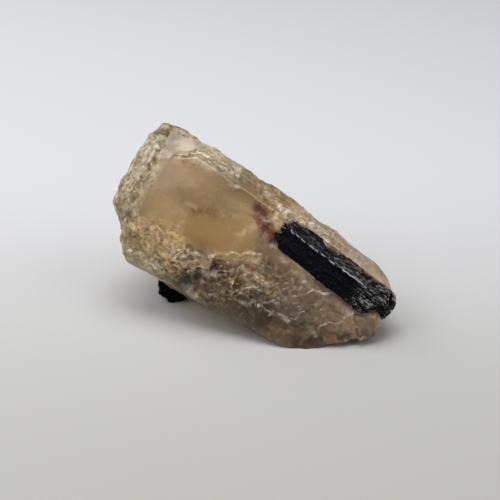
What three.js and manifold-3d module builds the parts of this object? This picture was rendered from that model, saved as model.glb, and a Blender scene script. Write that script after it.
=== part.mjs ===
// Tourmalinated quartz: a broken lump of smoky quartz that grew around two black tourmaline rods.
// One rod lies along the front shoulder of the lump, and the end of the other is the foot that props up
// the thick end. Millimetres, +Z up, floor at Z 0. +X runs from the thick end to the thin end, and the
// front is -Y. The origin is at the middle of the floor under the stone.
import * as THREE from "three";
import { ConvexGeometry } from "three/addons/geometries/ConvexGeometry.js";
import { mergeVertices } from "three/addons/utils/BufferGeometryUtils.js";
import Module from "manifold-3d";

const wasm = await Module();
wasm.setup();

// Driving dimensions, in millimetres
const GAP = 0.3; // room between a rod and the quartz around it
const QUARTZ_DETAIL = 17; // cuts along each edge of the icosahedron that becomes the quartz

// The corners where the large breaks of the lump meet
const CORNERS = {
  peak: [-21.9, 14, 46.8],
  crest_nub: [-17, 13, 44.4],
  crest_left: [-10.9, 12, 40],
  crest_middle: [0, 9, 34.8],
  crest_right: [11.2, 5, 28.2],
  crest_low: [24, -1, 20.2],
  tip_top: [33.4, -7, 15.2],
  tip: [36.9, -12, 9],
  tip_low: [33.8, -18.4, 3],
  left_high: [-28.4, 10, 39.6],
  left_middle: [-34.7, 4, 28.9],
  left_low: [-32.8, -2, 19],
  left_bottom: [-31.6, -4, 15.4],
  band_top: [-22.3, 5, 42],
  band_low: [-30.1, -1, 33.2],
  shoulder_high: [-14.3, 8, 40.6],
  shoulder_middle: [-2.5, 2.6, 34.8],
  shoulder_right: [6.4, -2.6, 28.5],
  shoulder_low: [21.6, -11.6, 17.6],
  shoulder_tip: [32.8, -16.2, 10.8],
  front_left: [-24.7, -5, 26.4],
  ledge_left: [-21.1, -8, 17.6],
  ledge_middle: [-12.3, -9.4, 19.5],
  ledge_right: [1.2, -10, 19.9],
  under_left: [-23.6, -4, 11.6],
  under_front: [-15.6, -1, 1.9],
  under_middle: [-3.6, -7, 1.7],
  heel: [8.6, -20.5, 0.4],
  toe: [16, -21.2, -0.9],
  toe_right: [26.2, -20, 1.4],
  back_high: [-24, 22, 36],
  back_left: [-30, 19, 20],
  back_left_low: [-21, 22, 6],
  back_ridge: [-3, 20, 27],
  back_middle: [3, 24, 13],
  back_low: [4, 20, -0.6],
  back_right: [24, 9, 11],
  back_right_low: [21, 5, -0.8],
  tip_back: [33, -3, 8],
};
const HEART = new THREE.Vector3(-3, 0, 18); // a point inside that sees the whole surface
const SPREAD = new THREE.Vector3(36, 25, 24); // rough half sizes, which even out the triangles

// Scooped breaks: where each one lies on the surface, the radius of the scoop and how deep it goes
const BITES = {
  left_notch: { near: [-33.4, 0, 24.5], radius: 4, depth: 1.4 },
  pale_flake: { near: [-17.5, 8, 41], radius: 12, depth: 0.9 },
  band_step: { near: [-27, 4, 37], radius: 7, depth: 0.8 },
  honey_window: { near: [-9, -8, 26.5], radius: 26, depth: 1.2 },
  ledge_hollow: { near: [-9, -8, 15], radius: 9, depth: 1.8 },
  front_shell: { near: [-1, -11, 14], radius: 6, depth: 1.1 },
  front_chip: { near: [9, -16, 8], radius: 7, depth: 0.8 },
  under_arch: { near: [-5, -7, 2], radius: 20, depth: 3 },
  under_scoop: { near: [-22, -3, 10], radius: 9, depth: 0.8 },
  back_scoop: { near: [-12, 22, 24], radius: 16, depth: 3 },
  back_shell: { near: [14, 17, 13], radius: 14, depth: 2.2 },
  back_step: { near: [-28, 17, 29], radius: 9, depth: 1.8 },
};

// Small shells all over, as quartz breaks, but not on the one smooth face
const SHELLS = { count: 150, radius: [5, 10], depth: [0.2, 0.6] };
const SMOOTH_FACE = { middle: new THREE.Vector3(-10, 0, 33), clear: 6 };

// The rods are six-sided, as tourmaline is, with grooves along their length. Each is given by the line
// of one corner, its ridge, and by the way that ridge faces. Its ends are ragged by the lengths given.
const LONG_ROD = {
  start: [9, -6.6, 26.5],
  end: [35, -17.8, 10.2],
  ridge: [0.2, -0.6, 0.77],
  side: 5.2,
  grooves: 42,
  steps: 14,
  ragged: [1.2, 1.8],
  slant: 1, // how much further its far end reaches on the front side than in the middle
  runout: 5, // how far its pocket runs on past its far end, out of the quartz
};
const FOOT_ROD = {
  start: [-20.2, 1.7, 7.6],
  end: [-15, 19, 7.6],
  ridge: [0, 0, 1],
  side: 4.1,
  grooves: 36,
  steps: 8,
  ragged: [0.6, 0.6],
  slant: 0,
  runout: 0,
};
const GROOVE_DEPTH = 0.16;
const ROD_SWELL = 0.05; // share of its radius by which a rod swells and narrows along its length

// A short repeatable random number maker, so that the stone is the same each time
function dice(seed) {
  let state = seed;
  return () => {
    state = (state + 0x6d2b79f5) | 0;
    let mixed = Math.imul(state ^ (state >>> 15), 1 | state);
    mixed = (mixed + Math.imul(mixed ^ (mixed >>> 7), 61 | mixed)) ^ mixed;
    return ((mixed ^ (mixed >>> 14)) >>> 0) / 2 ** 32;
  };
}

function randomDirection(roll) {
  const height = 2 * roll() - 1;
  const turn = 2 * Math.PI * roll();
  const level = Math.sqrt(1 - height * height);
  return new THREE.Vector3(level * Math.cos(turn), level * Math.sin(turn), height);
}

// Only positions, with shared vertices merged, as solids need
function bare(geometry) {
  geometry.deleteAttribute("normal");
  geometry.deleteAttribute("uv");
  return mergeVertices(geometry, 1e-4);
}

function toSolid(geometry) {
  const merged = bare(geometry.clone());
  return new wasm.Manifold(
    new wasm.Mesh({
      numProp: 3,
      vertProperties: merged.attributes.position.array,
      triVerts: new Uint32Array(merged.index.array),
    }),
  );
}

function toGeometry(solid) {
  const made = solid.getMesh();
  const geometry = new THREE.BufferGeometry();
  geometry.setAttribute("position", new THREE.BufferAttribute(made.vertProperties, 3));
  geometry.setIndex(new THREE.BufferAttribute(made.triVerts, 1));
  geometry.computeVertexNormals();
  return geometry;
}

// The flat breaks, as the planes of the hull around the corners
function flatBreaks() {
  const points = Object.values(CORNERS).map((corner) => new THREE.Vector3(...corner));
  const hull = new ConvexGeometry(points).getAttribute("position");
  const planes = [];
  for (let i = 0; i < hull.count; i += 3) {
    const [a, b, c] = [0, 1, 2].map((k) => new THREE.Vector3().fromBufferAttribute(hull, i + k));
    planes.push(new THREE.Plane().setFromCoplanarPoints(a, b, c));
  }
  return planes;
}

// The first flat break that a line from the heart meets, and how far away it is
function flatReach(direction, planes) {
  const ray = new THREE.Ray(HEART, direction);
  let nearest = { distance: Infinity, normal: null };
  for (const plane of planes) {
    const distance = ray.distanceToPlane(plane) ?? Infinity;
    if (distance < nearest.distance) nearest = { distance, normal: plane.normal };
  }
  return nearest;
}

// The ball that scoops a shell out of the flat break in a direction
function shellBall(direction, planes, radius, depth) {
  const { distance, normal } = flatReach(direction, planes);
  const centre = HEART.clone().addScaledVector(direction, distance);
  return new THREE.Sphere(centre.addScaledVector(normal, radius - depth), radius);
}

function namedBalls(planes) {
  return Object.values(BITES).map(({ near, radius, depth }) => {
    const direction = new THREE.Vector3(...near).sub(HEART).normalize();
    return shellBall(direction, planes, radius, depth);
  });
}

function scatteredBalls(planes) {
  const roll = dice(7);
  const balls = [];
  for (let i = 0; i < SHELLS.count; i++) {
    const direction = randomDirection(roll).multiply(SPREAD).normalize();
    const radius = THREE.MathUtils.lerp(...SHELLS.radius, roll());
    const depth = THREE.MathUtils.lerp(...SHELLS.depth, roll());
    const ball = shellBall(direction, planes, radius, depth);
    if (ball.distanceToPoint(SMOOTH_FACE.middle) > SMOOTH_FACE.clear) balls.push(ball);
  }
  return balls;
}

// The lump, before its foot is trimmed and the rods' pockets are cut: every point of a ball's surface
// moves out from the heart until it meets a flat break or a scoop
function quartzLump() {
  const geometry = bare(new THREE.IcosahedronGeometry(1, QUARTZ_DETAIL));
  const place = geometry.getAttribute("position");
  const planes = flatBreaks();
  const balls = [...namedBalls(planes), ...scatteredBalls(planes)];
  const direction = new THREE.Vector3();
  const hit = new THREE.Vector3();
  for (let i = 0; i < place.count; i++) {
    direction.fromBufferAttribute(place, i).multiply(SPREAD).normalize();
    const ray = new THREE.Ray(HEART, direction);
    let reach = flatReach(direction, planes).distance;
    for (const ball of balls) {
      if (ray.intersectSphere(ball, hit)) reach = Math.min(reach, hit.distanceTo(HEART));
    }
    const point = ray.at(reach, hit);
    place.setXYZ(i, point.x, point.y, point.z);
  }
  return toSolid(geometry);
}

// A block under the floor, which trims what rests on the floor flat
function belowFloor() {
  const block = new THREE.BoxGeometry(200, 200, 40);
  block.translate(0, 0, -20);
  return toSolid(block);
}

// The distance from a rod's axis to its six-sided outline, with a corner at angle 0
function hexagonRadius(angle, side) {
  const corner = Math.PI / 3;
  const fromFlat = THREE.MathUtils.euclideanModulo(angle, corner) - corner / 2;
  return (side * Math.cos(corner / 2)) / Math.cos(fromFlat);
}

function rodLength(rod) {
  return new THREE.Vector3(...rod.end).distanceTo(new THREE.Vector3(...rod.start));
}

// The rings of points along a rod on local X, with its ridge on the side of local Z. The first and the
// last ring are splintered: each groove breaks off at a length of its own.
function rodRings(rod) {
  const roll = dice(31);
  const splinters = new Array(rod.steps + 1).fill(0);
  splinters[0] = rod.ragged[0];
  splinters[rod.steps] = -rod.ragged[1];
  const points = [];
  splinters.forEach((splinter, step) => {
    for (let k = 0; k < rod.grooves; k++) {
      const angle = (2 * Math.PI * k) / rod.grooves;
      const swell = 1 + ROD_SWELL * Math.sin((5 * step) / rod.steps + 3 * angle);
      const groove = GROOVE_DEPTH * (k % 2) * (0.5 + roll());
      const radius = hexagonRadius(angle, rod.side) * swell - groove;
      const y = radius * Math.sin(angle);
      const length = rodLength(rod) - (rod.slant * y) / rod.side;
      points.push((length * step) / rod.steps + splinter * roll(), y, radius * Math.cos(angle));
    }
  });
  return points;
}

// A grooved rod along local X from 0 to its length
function rodGeometry(rod) {
  const { grooves, steps, ragged } = rod;
  const points = rodRings(rod);
  const foot = points.length / 3;
  const head = foot + 1;
  points.push(ragged[0] / 2, 0, 0, rodLength(rod) - ragged[1] / 2, 0, 0);
  const faces = [];
  for (let k = 0; k < grooves; k++) {
    const next = (k + 1) % grooves;
    for (let ring = 0; ring < steps * grooves; ring += grooves) {
      const above = ring + grooves;
      faces.push(ring + k, above + k, ring + next, ring + next, above + k, above + next);
    }
    const top = steps * grooves;
    faces.push(foot, k, next, head, top + next, top + k);
  }
  const geometry = new THREE.BufferGeometry();
  geometry.setAttribute("position", new THREE.Float32BufferAttribute(points, 3));
  geometry.setIndex(faces);
  return geometry;
}

// The plain six-sided pocket that a rod sits in, along local X with room all round
function pocketGeometry(rod) {
  const radius = rod.side * (1 + ROD_SWELL) + GAP;
  const length = rodLength(rod) + 2 * GAP + rod.runout;
  const pocket = new THREE.CylinderGeometry(radius, radius, length, 6);
  pocket.rotateZ(-Math.PI / 2);
  return pocket.translate(length / 2 - GAP, 0, 0);
}

// The turn and place that put a rod on its line with its ridge facing the right way
function rodPlacing(rod) {
  const start = new THREE.Vector3(...rod.start);
  const axis = new THREE.Vector3(...rod.end).sub(start).normalize();
  const ridge = new THREE.Vector3(...rod.ridge);
  ridge.addScaledVector(axis, -ridge.dot(axis)).normalize();
  const across = ridge.clone().cross(axis);
  const placing = new THREE.Matrix4().makeBasis(axis, across, ridge);
  return placing.setPosition(start.addScaledVector(ridge, -rod.side));
}

const QUARTZ = new THREE.MeshStandardMaterial({ color: 0xa98c66, roughness: 0.25, metalness: 0 });
const TOURMALINE = new THREE.MeshStandardMaterial({ color: 0x0d0d10, roughness: 0.4, metalness: 0 });

function namedPiece(name, solid, material) {
  const mesh = new THREE.Mesh(toGeometry(solid), material);
  mesh.name = name;
  return mesh;
}

function rodSolid(rod) {
  return toSolid(rodGeometry(rod).applyMatrix4(rodPlacing(rod)));
}

function pocketSolid(rod) {
  return toSolid(pocketGeometry(rod).applyMatrix4(rodPlacing(rod)));
}

function buildStone() {
  const lump = quartzLump()
    .subtract(belowFloor())
    .subtract(pocketSolid(LONG_ROD))
    .subtract(pocketSolid(FOOT_ROD));
  const stone = new THREE.Group();
  stone.add(
    namedPiece("quartz", lump, QUARTZ),
    namedPiece("tourmaline_rod", rodSolid(LONG_ROD), TOURMALINE),
    namedPiece("tourmaline_foot", rodSolid(FOOT_ROD).subtract(belowFloor()), TOURMALINE),
  );
  return stone;
}

// The stone stands with the middle of its outline over the origin
const stone = buildStone();
const middle = new THREE.Box3().setFromObject(stone, true).getCenter(new THREE.Vector3());
stone.position.set(-middle.x, -middle.y, 0);

const part = new THREE.Group();
part.name = "tourmalinated_quartz";
part.add(stone);
export default part;
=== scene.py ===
# %% [markdown]
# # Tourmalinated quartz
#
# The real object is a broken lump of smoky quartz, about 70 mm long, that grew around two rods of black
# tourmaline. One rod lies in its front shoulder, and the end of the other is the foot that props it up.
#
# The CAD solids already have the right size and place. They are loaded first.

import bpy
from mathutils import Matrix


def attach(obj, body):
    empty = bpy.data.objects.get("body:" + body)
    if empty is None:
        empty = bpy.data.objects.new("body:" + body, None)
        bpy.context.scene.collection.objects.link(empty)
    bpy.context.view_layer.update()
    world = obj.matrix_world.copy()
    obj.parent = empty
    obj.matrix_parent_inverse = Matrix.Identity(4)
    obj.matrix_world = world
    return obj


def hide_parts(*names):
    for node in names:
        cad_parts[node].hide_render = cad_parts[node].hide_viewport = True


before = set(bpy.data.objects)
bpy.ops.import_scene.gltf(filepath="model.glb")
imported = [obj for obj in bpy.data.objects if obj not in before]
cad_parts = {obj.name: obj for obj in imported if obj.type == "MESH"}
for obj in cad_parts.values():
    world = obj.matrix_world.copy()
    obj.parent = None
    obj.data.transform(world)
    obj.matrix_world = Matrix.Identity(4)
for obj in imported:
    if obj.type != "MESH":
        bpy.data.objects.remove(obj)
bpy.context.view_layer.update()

# %% [markdown]
# ## Camera
#
# The photograph looks down on the stone from about 30 degrees, square to its long side, with little
# perspective. A long lens at some distance gives the same view. A camera looks down its own -Z, so
# turning it about X by a quarter turn less those 30 degrees aims it along +Y and down.

# %% Camera
import math
import bpy
from mathutils import Matrix, Vector

MM = 0.001
LENS = 85
CAMERA_ABOVE = math.radians(30)
CAMERA_DISTANCE = 295 * MM
CAMERA_AIM = Vector((-0.9, -6.7, 19.3)) * MM

back = Vector((0, -math.cos(CAMERA_ABOVE), math.sin(CAMERA_ABOVE)))
bpy.ops.object.camera_add(
    location=CAMERA_AIM + back * CAMERA_DISTANCE,
    rotation=(math.pi / 2 - CAMERA_ABOVE, 0, 0),
)
camera = bpy.context.object
camera.data.lens = LENS
bpy.context.scene.camera = camera
print("camera at", [round(x, 3) for x in camera.location])

# %% [markdown]
# ## Helpers for nodes
#
# Every finish below is a tree of nodes, and so is the fine relief of the stone. Such a tree could be
# drawn by hand in the node editor. In a script a few helpers keep it short: one adds a node and feeds its
# inputs with plain values or with the outputs of other nodes, and the others do the same for sums and for
# the textures that are used most. A ramp is given as (start, end, low, high).

# %% Node helpers
def put(tree, kind, feeds=None, **options):
    """Adds a node, sets its options and feeds its inputs with values or with other nodes' outputs."""
    node = tree.nodes.new(kind)
    for option, value in options.items():
        setattr(node, option, value)
    for socket, value in (feeds or {}).items():
        if isinstance(value, bpy.types.NodeSocket):
            tree.links.new(value, node.inputs[socket])
        else:
            node.inputs[socket].default_value = value
    return node


def calc(tree, operation, *values, clamp=False):
    """The result of a sum on numbers or outputs."""
    feeds = dict(enumerate(values))
    return put(tree, "ShaderNodeMath", feeds, operation=operation, use_clamp=clamp).outputs[0]


def vector_calc(tree, operation, *values):
    """The result of a sum on vectors."""
    node = put(tree, "ShaderNodeVectorMath", dict(enumerate(values)), operation=operation)
    single = operation in ("DOT_PRODUCT", "LENGTH", "DISTANCE")
    return node.outputs["Value" if single else "Vector"]


def ramp(tree, value, start, end, low=0.0, high=1.0):
    """Carries a value from start..end to low..high with a soft ease, and no further."""
    feeds = {"Value": value, "From Min": start, "From Max": end, "To Min": low, "To Max": high}
    return put(tree, "ShaderNodeMapRange", feeds, interpolation_type="SMOOTHSTEP").outputs[0]


def noise(tree, point, scale, detail=2.0, roughness=0.5, output="Fac"):
    """Noise from 0 to 1, or its random colour."""
    feeds = {"Vector": point, "Scale": scale, "Detail": detail, "Roughness": roughness}
    return put(tree, "ShaderNodeTexNoise", feeds).outputs[output]


def centred_noise(tree, point, scale, height, detail=2.0):
    """Noise about zero that reaches up to about half the height either way."""
    return calc(tree, "MULTIPLY", calc(tree, "SUBTRACT", noise(tree, point, scale, detail), 0.5), height)


def in_millimetres(tree, place):
    """Carries a place from metres to millimetres."""
    return vector_calc(tree, "MULTIPLY", place, (1 / MM, 1 / MM, 1 / MM))


def new_group(name, kind, inputs, outputs):
    """An empty node group with named sockets: (name, type) pairs. Returns it with its two end nodes."""
    group = bpy.data.node_groups.new(name, kind)
    for in_out, sockets in (("INPUT", inputs), ("OUTPUT", outputs)):
        for socket, socket_type in sockets:
            group.interface.new_socket(socket, in_out=in_out, socket_type="NodeSocket" + socket_type)
    return group, group.nodes.new("NodeGroupInput"), group.nodes.new("NodeGroupOutput")


print("node helpers are ready")

# %% [markdown]
# ## Zones of the stone
#
# The stone isn't the same all over: one face is smooth, the thick end is crumbly, one spot is honey
# coloured. Such a zone is marked by a line along its middle and by how far it reaches from that line. The
# mask is 1 along the line and falls to 0 over a soft edge. The relief needs these masks in a geometry
# tree and the finish needs them in a shader tree, so one function makes the group for either.

# %% Zone groups
def make_zone_group(name, kind):
    """A group that tells how much a point belongs to the zone around a line."""
    vectors = [(socket, "Vector") for socket in ("Point", "Start", "End")]
    floats = [("Reach", "Float"), ("Edge", "Float")]
    group, ins, outs = new_group(name, kind, vectors + floats, [("Mask", "Float")])
    line = vector_calc(group, "SUBTRACT", ins.outputs["End"], ins.outputs["Start"])
    way = vector_calc(group, "SUBTRACT", ins.outputs["Point"], ins.outputs["Start"])
    squared = calc(group, "MAXIMUM", vector_calc(group, "DOT_PRODUCT", line, line), 1e-6)
    share = calc(group, "DIVIDE", vector_calc(group, "DOT_PRODUCT", way, line), squared, clamp=True)
    beside = vector_calc(group, "MULTIPLY", line, share)
    distance = vector_calc(group, "DISTANCE", way, beside)
    outer = calc(group, "ADD", ins.outputs["Reach"], ins.outputs["Edge"])
    group.links.new(ramp(group, distance, ins.outputs["Reach"], outer, 1.0, 0.0), outs.inputs["Mask"])
    return group


ZONE_GROUPS = {
    "GeometryNodeTree": ("GeometryNodeGroup", make_zone_group("Relief zone", "GeometryNodeTree")),
    "ShaderNodeTree": ("ShaderNodeGroup", make_zone_group("Colour zone", "ShaderNodeTree")),
}


def zone_mask(tree, point, zone):
    """Places the zone group in a tree. A zone is (start, end, reach, edge), in millimetres."""
    kind, group = ZONE_GROUPS[tree.bl_idname]
    start, end, reach, edge = zone
    feeds = {"Point": point, "Start": start, "End": end, "Reach": reach, "Edge": edge}
    return put(tree, kind, feeds, node_tree=group).outputs["Mask"]


def strongest(tree, point, zones):
    """The highest mask of several zones."""
    masks = [zone_mask(tree, point, zone) for zone in zones.values()]
    highest = masks[0]
    for mask in masks[1:]:
        highest = calc(tree, "MAXIMUM", highest, mask)
    return highest


print("zone groups for:", sorted(ZONE_GROUPS))

# %% [markdown]
# ## Where the rods lie
#
# Both rods are six-sided. Each is given by the line of its uppermost corner, by the way that corner faces
# and by the length of a side, in millimetres, as in the CAD. A rod could be modelled where it lies,
# aslant in the stone. It is easier to make it standing at the origin, where its length is simply Z and
# its corner faces +Y, and then to lay it in place.

# %% Places of the rods
RODS = {
    "tourmaline_rod": {
        "ridge_start": Vector((8.1, -8.3, 26.5)),
        "ridge_end": Vector((34.1, -19.5, 10.2)),
        "ridge_faces": Vector((0.2, -0.6, 0.77)),
        "side": 5.2,
    },
    "tourmaline_foot": {
        "ridge_start": Vector((-21.1, 0.0, 7.6)),
        "ridge_end": Vector((-15.9, 17.3, 7.6)),
        "ridge_faces": Vector((0, 0, 1)),
        "side": 4.1,
    },
}


def select_only(piece):
    """Leaves one piece selected and active."""
    bpy.ops.object.select_all(action="DESELECT")
    piece.select_set(True)
    bpy.context.view_layer.objects.active = piece


def rod_length(rod):
    """The length of a rod's line, in millimetres."""
    return (rod["ridge_end"] - rod["ridge_start"]).length


def lay_in_place(piece, rod):
    """Turns and moves a standing piece to a rod's line, and puts that place into its mesh."""
    axis = (rod["ridge_end"] - rod["ridge_start"]).normalized()
    ridge = rod["ridge_faces"] - axis * rod["ridge_faces"].dot(axis)
    ridge.normalize()
    turn = Matrix((ridge.cross(axis), ridge, axis)).transposed()
    middle = (rod["ridge_start"] + rod["ridge_end"]) / 2 - ridge * rod["side"]
    piece.matrix_world = Matrix.Translation(middle * MM) @ turn.to_4x4()
    select_only(piece)
    bpy.ops.object.transform_apply(location=True, rotation=True, scale=True)


for name, rod in RODS.items():
    print(name, "is", round(rod_length(rod), 1), "mm long")

# %% [markdown]
# ## The quartz, first as a fine plain mesh
#
# Quartz has no cleavage, so a lump of it breaks along curved shells and small steps. No primitive leads
# to that shape, so the piece starts as a copy of the CAD solid. A CAD mesh is loose triangles: they are
# merged. Three fillers are joined to it. The real quartz grew tight around the rod, so a part of a
# six-sided cylinder closes the play in the rod's pocket. A squashed ball rounds the low end under the
# rod. A flat wedge makes the upper part of the smooth face one plane. Then all is remeshed to small even
# faces, which melts the fillers into the lump, and smoothed a little, so that the large triangles no
# longer show.

# %% Quartz base mesh
FACE_SIZE = 0.34 * MM
SMOOTH_TURNS = 5
SMOOTH_SHARE = 0.5
WELD = 0.001 * MM
BED_SIDE = 5.95  # reaches into the walls of the pocket
BED_TOP = 2.4  # height of the quartz beside the rod, over the rod's axis
BED_LEAN = (-0.07, 1, 0.02)
BED_SHORTER = 2.5  # than the rod
BED_SHIFT = 0.4  # towards the buried end
FACE_EDGE = [
    (-18.2, 2.2, 40.4), (-13.8, 2.4, 40.6), (-10.3, 0.9, 38.4), (-7.8, -0.2, 36.7),
    (-3.4, -1.7, 34.4), (0.4, -3.0, 32.4), (3.6, -4.2, 30.5), (5.6, -5.1, 29.2),
]
FACE_FOOT = [(-13.2, -0.8, 35.9), (-7.1, -3.1, 32.4), (-2.1, -4.6, 30.1), (2.1, -5.8, 28.2)]
FACE_DEPTH = Vector((0.4, 4.0, 0.2))
LOW_END = {"middle": Vector((28.6, -16.8, 4.6)), "radii": Vector((3.2, 3.6, 3.6))}


def add_and_apply(piece, kind, **options):
    """Adds a modifier with its options and applies it at once."""
    select_only(piece)
    modifier = piece.modifiers.new(kind.title(), kind)
    for option, value in options.items():
        setattr(modifier, option, value)
    bpy.ops.object.modifier_apply(modifier=modifier.name)


def merged_copy(node, name):
    """A new object with a copy of a CAD node's mesh, its triangles merged."""
    piece = bpy.data.objects.new(name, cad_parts[node].data.copy())
    bpy.context.scene.collection.objects.link(piece)
    select_only(piece)
    bpy.ops.object.mode_set(mode="EDIT")
    bpy.ops.mesh.select_all(action="SELECT")
    bpy.ops.mesh.remove_doubles(threshold=WELD)
    bpy.ops.object.mode_set(mode="OBJECT")
    return piece


def rod_bed(rod):
    """The lower part of a six-sided cylinder, which fills the rod's pocket up to the quartz beside it."""
    bpy.ops.object.select_all(action="DESELECT")
    depth = (rod_length(rod) - BED_SHORTER) * MM
    place = (0, 0, -BED_SHORTER * MM / 2 - BED_SHIFT * MM)
    bpy.ops.mesh.primitive_cylinder_add(vertices=6, radius=BED_SIDE * MM, depth=depth, location=place)
    bed = bpy.context.object
    bpy.ops.object.transform_apply(location=True)
    bpy.ops.object.mode_set(mode="EDIT")
    bpy.ops.mesh.select_all(action="SELECT")
    bpy.ops.mesh.bisect(plane_co=(0, BED_TOP * MM, 0), plane_no=BED_LEAN, clear_outer=True, use_fill=True)
    bpy.ops.object.mode_set(mode="OBJECT")
    lay_in_place(bed, rod)
    return bed


def low_end():
    """The round end of the quartz under the broken end of the rod."""
    bpy.ops.object.select_all(action="DESELECT")
    place = LOW_END["middle"] * MM
    radii = LOW_END["radii"] * MM
    bpy.ops.mesh.primitive_uv_sphere_add(radius=1, location=place, scale=radii)
    bpy.ops.object.transform_apply(location=True, rotation=True, scale=True)
    return bpy.context.object


def upper_face():
    """The upper part of the smooth face, a flat wedge between the crest and the rest of that face."""
    corners = [Vector(corner) for corner in FACE_EDGE + FACE_FOOT]
    corners += [Vector(corner) + FACE_DEPTH for corner in FACE_EDGE]
    mesh = bpy.data.meshes.new("upper face")
    mesh.from_pydata([corner * MM for corner in corners], [], [])
    wedge = bpy.data.objects.new("upper face", mesh)
    bpy.context.scene.collection.objects.link(wedge)
    select_only(wedge)
    bpy.ops.object.mode_set(mode="EDIT")
    bpy.ops.mesh.select_all(action="SELECT")
    bpy.ops.mesh.convex_hull()
    bpy.ops.object.mode_set(mode="OBJECT")
    return wedge


quartz = merged_copy("quartz", "quartz_lump")
fillers = [rod_bed(RODS["tourmaline_rod"]), low_end(), upper_face()]
select_only(quartz)
for filler in fillers:
    filler.select_set(True)
bpy.ops.object.join()
add_and_apply(quartz, "REMESH", mode="VOXEL", voxel_size=FACE_SIZE)
add_and_apply(quartz, "SMOOTH", factor=SMOOTH_SHARE, iterations=SMOOTH_TURNS)
print("quartz base:", len(quartz.data.polygons), "faces")

# %% [markdown]
# ## The relief of the quartz
#
# The lump stays calm where it split along one smooth shell, and is crumbly where it splintered. It could
# be sculpted by hand, but a texture used as a height gives thousands of small breaks that never repeat.
# The zones say where the stone stays calm and where it crumbles.

# %% Calm and crumbly zones
CALM_ZONES = {
    "smooth face": ((-20, -0.5, 36), (-3, -3.5, 32), 3.0, 2.6),
    "left honey": ((-26, -4, 31), (-20, -5, 29.5), 1.8, 3),
    "honey window": ((-13, -7.5, 25), (-4, -8, 24), 3, 3.2),
}
CRUMBLY_ZONES = {
    "thick end": ((-25, 6, 42), (-33, -1, 29), 4, 3),
    "lower left": ((-30, -4, 21), (-21, -8, 21), 5, 3),
    "crest": ((-17, 10.5, 43), (20, -4, 23), 4, 3),
    "undercut": ((-20, -10, 17), (0, -13, 15), 1, 7),
    "left edge": ((-31, -4, 20), (-24, -8, 16.5), 3, 3),
    "back": ((-25, 20, 28), (10, 18, 16), 9, 8),
}
THICK_END = CRUMBLY_ZONES["thick end"]
PLAIN_SHARE = 0.34  # how crumbly the stone is where no zone lies

print("zones of the relief:", len(CALM_ZONES), "calm and", len(CRUMBLY_ZONES), "crumbly")

# %% [markdown]
# A Voronoi texture gives the distance to the nearest of many scattered points. Used as a height, it makes
# bowls that meet in sharp ridges, just as broken shells of quartz do. The same bowls, smaller and drawn
# out along one way, are the sugary crumble. Its cells, each tilted its own way, are the flat facets of
# the front and of the lower left. They have a cell size, a tilt and a zone. Ledges run along the thick
# end: a sawtooth rises slowly and drops at once.

# %% Shells, crumble, facets and ledges
MEAN_SQUARE = 0.3  # about the mean of a squared distance, so that bowls keep the size
BOWLS = {"cell": 7.0, "depth": 0.6, "calm": 0.15}
SCALLOPS = [
    {"cell": 3.2, "depth": 0.75, "turn": (0.5, 0.9, 0.3)},
    {"cell": 1.4, "depth": 0.4, "turn": (1.1, 0.2, 0.7)},
]
SCALLOP_STRETCH = (1.0, 1.0, 0.6)
FACETS = {
    "front": (5.6, 0.42, ((1, -14.5, 14), (24, -19, 6), 4.5, 3)),
    "front slivers": (2.4, 0.5, ((-6, -13.5, 13.5), (6, -15.5, 12), 3, 4)),
    "lower left": (3.4, 0.45, ((-30, -4, 22), (-20, -9, 18), 3.5, 3)),
}
FACET_ROUNDING = 0.15
LEDGE_ACROSS = (-0.54, 0.83, -0.15)
LEDGE_PITCH = 2.4
LEDGE_DROP = 0.7
LEDGE_WAVER = {"scale": 0.3, "height": 1.6, "detail": 3.0}


def bowl_height(tree, point, cell, depth):
    """Round bowls that meet in sharp ridges."""
    feeds = {"Vector": point, "Scale": 1 / cell}
    distance = put(tree, "ShaderNodeTexVoronoi", feeds).outputs["Distance"]
    squared = calc(tree, "MULTIPLY", distance, distance)
    return calc(tree, "MULTIPLY", calc(tree, "SUBTRACT", squared, MEAN_SQUARE), depth)


def scallop_height(tree, point, cell, depth, turn):
    """Smaller bowls, drawn out along one way."""
    turned = put(tree, "ShaderNodeVectorRotate", {"Vector": point}, rotation_type="EULER_XYZ")
    turned.inputs["Rotation"].default_value = turn
    stretched = vector_calc(tree, "MULTIPLY", turned.outputs[0], SCALLOP_STRETCH)
    return bowl_height(tree, stretched, cell, depth)


def facet_height(tree, point, cell, tilt):
    """Flat facets, each tilted its own way, that meet in slightly rounded edges."""
    feeds = {"Vector": point, "Scale": 1 / cell, "Smoothness": FACET_ROUNDING}
    cells = put(tree, "ShaderNodeTexVoronoi", feeds, feature="SMOOTH_F1")
    from_middle = vector_calc(tree, "SUBTRACT", point, cells.outputs["Position"])
    way = vector_calc(tree, "SUBTRACT", cells.outputs["Color"], (0.5, 0.5, 0.5))
    return calc(tree, "MULTIPLY", vector_calc(tree, "DOT_PRODUCT", from_middle, way), tilt)


def ledge_height(tree, point):
    """Ledges that rise slowly and drop at once."""
    across = vector_calc(tree, "DOT_PRODUCT", point, LEDGE_ACROSS)
    wavy = calc(tree, "ADD", across, centred_noise(tree, point, **LEDGE_WAVER))
    rise = calc(tree, "FRACT", calc(tree, "DIVIDE", wavy, LEDGE_PITCH))
    return calc(tree, "MULTIPLY", calc(tree, "SUBTRACT", rise, 0.5), LEDGE_DROP)


print("crumble of", [scallop["cell"] for scallop in SCALLOPS], "mm, facets on:", sorted(FACETS))
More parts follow.
